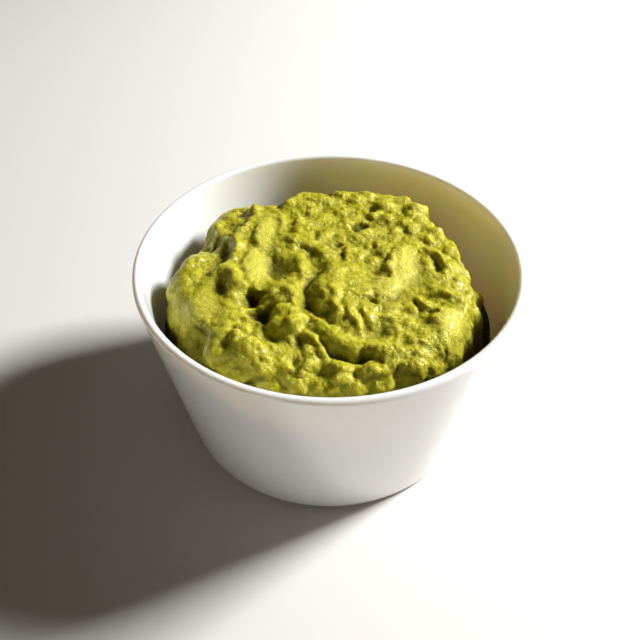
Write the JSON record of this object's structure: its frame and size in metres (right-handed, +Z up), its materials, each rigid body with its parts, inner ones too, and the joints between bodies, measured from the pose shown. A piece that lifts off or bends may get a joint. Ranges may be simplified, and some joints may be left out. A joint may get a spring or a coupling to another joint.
{
  "type": "bowl of guacamole",
  "caption": "Conical white glazed bowl with a flat ring foot, filled with a heaped, spoon-worked mound of lumpy green guacamole that stands a little above the rim",
  "frame": {"origin": "on the table plane, at the middle of the bowl's foot", "axes": "+Z up along the bowl's axis; -Y towards the front from which the bowl is usually seen, +X to its right"},
  "size_m": [0.12, 0.12, 0.0652],
  "materials": {
    "bowl": "smooth white glaze, soft gloss",
    "guacamole": "moist lumpy mashed avocado, fine grain with small wet highlights"
  },
  "bodies": {
    "root": {"bowl": "bowl", "guacamole": "guacamole"}
  },
  "joints": []
}
